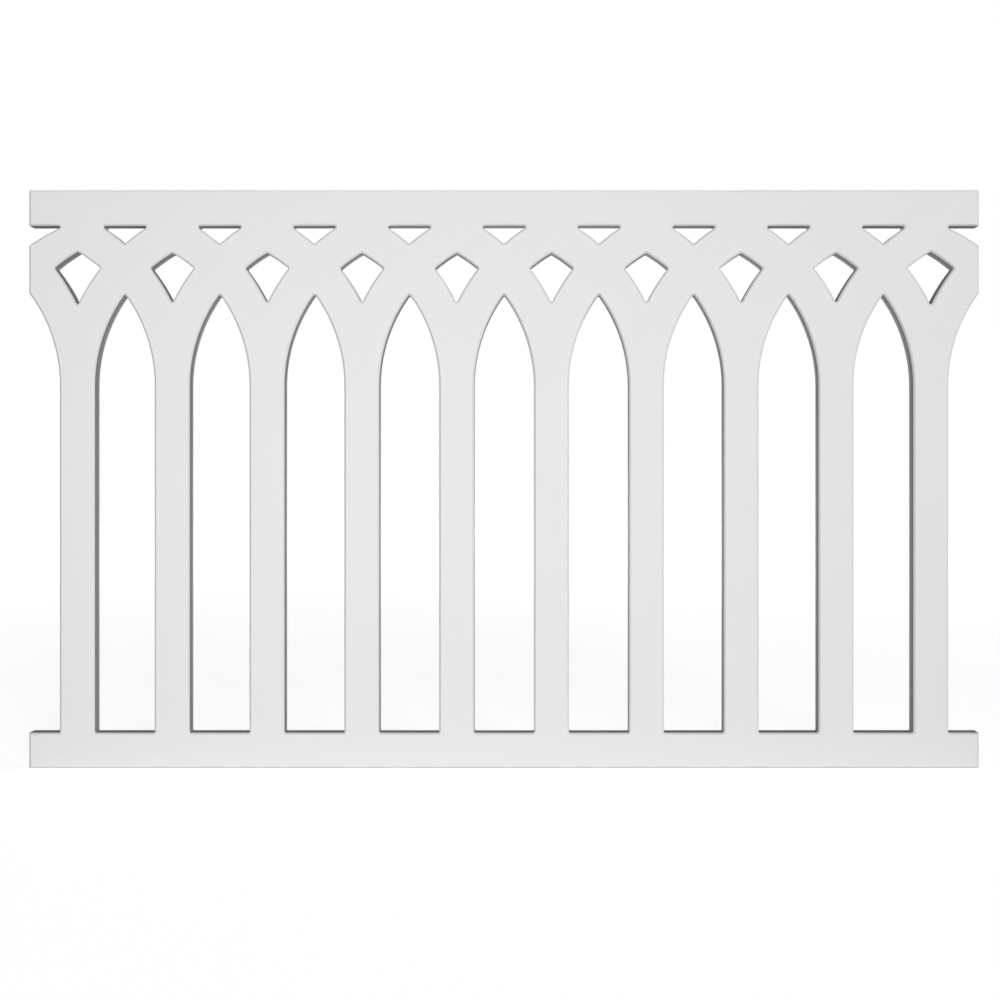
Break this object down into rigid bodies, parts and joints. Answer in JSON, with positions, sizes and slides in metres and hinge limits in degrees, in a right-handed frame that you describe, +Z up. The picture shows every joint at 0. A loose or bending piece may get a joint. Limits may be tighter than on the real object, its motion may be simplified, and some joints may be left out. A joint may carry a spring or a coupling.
{
  "type": "picket fence panel",
  "caption": "White openwork fence panel cut from one sheet: upright pickets between a bottom and a top rail, forking into interlaced gothic arches under the top rail.",
  "frame": {"origin": "middle of the flat bottom edge, half-way through the sheet", "axes": "+X along the panel to the right as seen from the front, +Z up, the front faces -Y"},
  "size_m": [1.1684, 0.0254, 0.7112],
  "materials": {
    "white_pvc": "routed white cellular PVC sheet, satin skin, matt cut edges"
  },
  "bodies": {
    "root": {"picket_panel": "white_pvc"}
  },
  "joints": []
}
